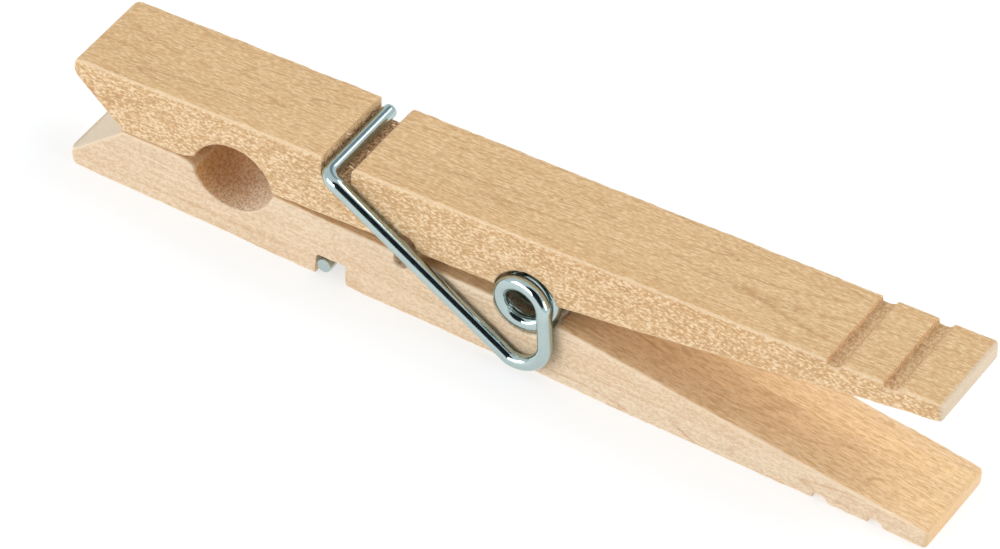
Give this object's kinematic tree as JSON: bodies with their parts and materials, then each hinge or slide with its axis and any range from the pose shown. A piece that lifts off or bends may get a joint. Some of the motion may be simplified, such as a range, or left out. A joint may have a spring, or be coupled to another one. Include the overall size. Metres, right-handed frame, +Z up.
{
  "type": "clothespin",
  "caption": "Wooden spring clothespin: matching tapered legs joined by a bright wire torsion spring, opened by squeezing the handles.",
  "frame": {"origin": "bottom centre of the closed clothespin's bounding box, on the plane that the lower leg's outer face rests on", "axes": "+X along the length from jaws to handles, +Y across the width away from the front arm, +Z up from the lower leg to the upper leg"},
  "size_m": [0.0834, 0.0126, 0.0156],
  "materials": {
    "upper_wood": "raw birch, tan, sawn smooth, fine long grain on the outer face and short flecks on the sides",
    "lower_wood": "raw birch, paler, sawn smooth, faint long grain",
    "spring_wire": "bright zinc-plated drawn wire, slightly pitted"
  },
  "bodies": {
    "lower_leg": {"lower_leg": "lower_wood", "spring_back_arm": "spring_wire"},
    "upper_leg": {"upper_leg": "upper_wood", "spring_front_arm": "spring_wire"},
    "coil": {"spring_coil": "spring_wire"}
  },
  "joints": [
    {"name": "jaw_hinge", "type": "hinge", "parent": "lower_leg", "child": "upper_leg", "pos_m": [0.00307, 0, 0.00685], "axis": [0, 1, 0], "range_deg": [0, 17], "stiffness_Nm_per_rad": 0.42, "springref_deg": -24.06},
    {"name": "coil_twist", "type": "hinge", "parent": "lower_leg", "child": "coil", "pos_m": [0.00307, 0, 0.00685], "axis": [0, 1, 0], "range_deg": [0, 8.5]}
  ],
  "couplings": [
    {"joint": "coil_twist", "follows": "jaw_hinge", "ratio": 0.5}
  ]
}
